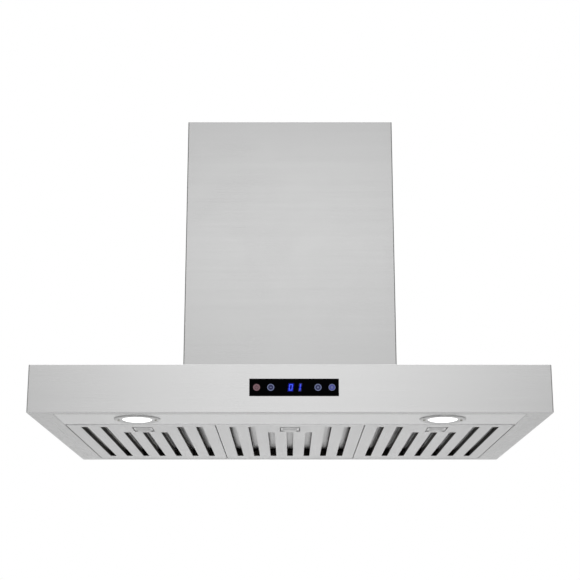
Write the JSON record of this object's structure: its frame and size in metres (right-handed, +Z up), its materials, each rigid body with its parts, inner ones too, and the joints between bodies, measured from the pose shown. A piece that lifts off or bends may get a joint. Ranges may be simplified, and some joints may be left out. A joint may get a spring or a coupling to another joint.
{
  "type": "island range hood",
  "caption": "Flat box canopy hood on a square telescopic chimney, with baffle filters, front lamps and a touch control.",
  "frame": {"origin": "centre of the ceiling plate's top face, on the ceiling", "axes": "+Z up out of the ceiling plate, -Y towards the user and the control, +X to the user's right"},
  "size_m": [0.9, 0.6008, 0.6016],
  "materials": {
    "steel": "brushed",
    "steel_cover": "brushed",
    "filter_steel": "satin",
    "galvanised": "satin",
    "black_glass": "gloss",
    "black_plastic": "matte",
    "lamp_rim": "satin",
    "lens": "frosted",
    "heatsink": "cast",
    "board": "satin",
    "rubber": "matte",
    "zinc_fixings": "satin",
    "spring_steel": "satin",
    "impeller_plastic": "matte",
    "motor_metal": "cast",
    "shaft_steel": "ground",
    "capacitor_case": "satin",
    "lead": "satin"
  },
  "bodies": {
    "ceiling_frame": {"ceiling_plate": "galvanised", "upper_frame": "galvanised", "upper_cover_front": "steel_cover", "upper_cover_rear": "steel_cover"},
    "hood": {"canopy_shell": "steel", "light_panel": "steel", "filter_bumpers": "rubber", "lamp_left_bezel": "lamp_rim", "lamp_left_lens": "lens", "lamp_left_module": "heatsink", "lamp_right_bezel": "lamp_rim", "lamp_right_lens": "lens", "lamp_right_module": "heatsink", "lamp_screws": "zinc_fixings", "control_glass": "black_glass", "control_carrier": "black_plastic", "control_board": "board", "control_display": "black_plastic", "touch_springs": "spring_steel", "power_box": "galvanised", "power_box_lid": "galvanised", "power_board": "board", "cable_gland": "black_plastic", "blower_casing": "galvanised", "blower_inlet_rings": "galvanised", "motor": "motor_metal", "motor_bracket": "galvanised", "capacitor": "capacitor_case", "capacitor_strap": "galvanised", "blower_box": "galvanised", "blower_gasket": "rubber", "outlet_collar": "black_plastic", "damper_pin": "shaft_steel", "lower_cover_front": "steel_cover", "lower_cover_rear": "steel_cover", "frame_base": "galvanised", "lower_posts": "galvanised", "frame_bolts": "zinc_fixings", "cover_screws": "zinc_fixings", "blower_box_screws": "zinc_fixings", "internal_leads": "lead"},
    "impeller": {"impeller": "impeller_plastic", "motor_shaft": "shaft_steel"},
    "damper_front": {"damper_flap_front": "galvanised"},
    "damper_rear": {"damper_flap_rear": "galvanised"},
    "filter_left": {"filter_left_pan": "filter_steel", "filter_left_baffles": "filter_steel", "filter_left_latch_cup": "filter_steel", "filter_left_latch_springs": "spring_steel"},
    "latch_left": {"filter_left_latch_bolt": "filter_steel"},
    "filter_centre": {"filter_centre_pan": "filter_steel", "filter_centre_baffles": "filter_steel", "filter_centre_latch_cup": "filter_steel", "filter_centre_latch_springs": "spring_steel"},
    "latch_centre": {"filter_centre_latch_bolt": "filter_steel"},
    "filter_right": {"filter_right_pan": "filter_steel", "filter_right_baffles": "filter_steel", "filter_right_latch_cup": "filter_steel", "filter_right_latch_springs": "spring_steel"},
    "latch_right": {"filter_right_latch_bolt": "filter_steel"}
  },
  "joints": [
    {"name": "hood_height", "type": "slide", "parent": "ceiling_frame", "child": "hood", "axis": [0, 0, 1], "range_m": [-0.25, 0]},
    {"name": "impeller_spin", "type": "hinge", "parent": "hood", "child": "impeller", "pos_m": [-0.055, 0, -0.352], "axis": [0, 1, 0], "continuous": true},
    {"name": "damper_front_swing", "type": "hinge", "parent": "hood", "child": "damper_front", "pos_m": [0, 0, -0.177], "axis": [-1, 0, 0], "range_deg": [0, 75]},
    {"name": "damper_rear_swing", "type": "hinge", "parent": "hood", "child": "damper_rear", "pos_m": [0, 0, -0.177], "axis": [1, 0, 0], "range_deg": [0, 75]},
    {"name": "filter_left_tilt", "type": "hinge", "parent": "hood", "child": "filter_left", "pos_m": [0, 0.277, -0.596], "axis": [1, 0, 0], "range_deg": [0, 70]},
    {"name": "filter_left_latch", "type": "slide", "parent": "filter_left", "child": "latch_left", "axis": [0, 1, 0], "range_m": [0, 0.008], "stiffness_N_per_m": 600, "springref_m": -0.003, "deforming": ["filter_left_latch_springs"]},
    {"name": "filter_centre_tilt", "type": "hinge", "parent": "hood", "child": "filter_centre", "pos_m": [0, 0.277, -0.596], "axis": [1, 0, 0], "range_deg": [0, 70]},
    {"name": "filter_centre_latch", "type": "slide", "parent": "filter_centre", "child": "latch_centre", "axis": [0, 1, 0], "range_m": [0, 0.008], "stiffness_N_per_m": 600, "springref_m": -0.003, "deforming": ["filter_centre_latch_springs"]},
    {"name": "filter_right_tilt", "type": "hinge", "parent": "hood", "child": "filter_right", "pos_m": [0, 0.277, -0.596], "axis": [1, 0, 0], "range_deg": [0, 70]},
    {"name": "filter_right_latch", "type": "slide", "parent": "filter_right", "child": "latch_right", "axis": [0, 1, 0], "range_m": [0, 0.008], "stiffness_N_per_m": 600, "springref_m": -0.003, "deforming": ["filter_right_latch_springs"]}
  ]
}
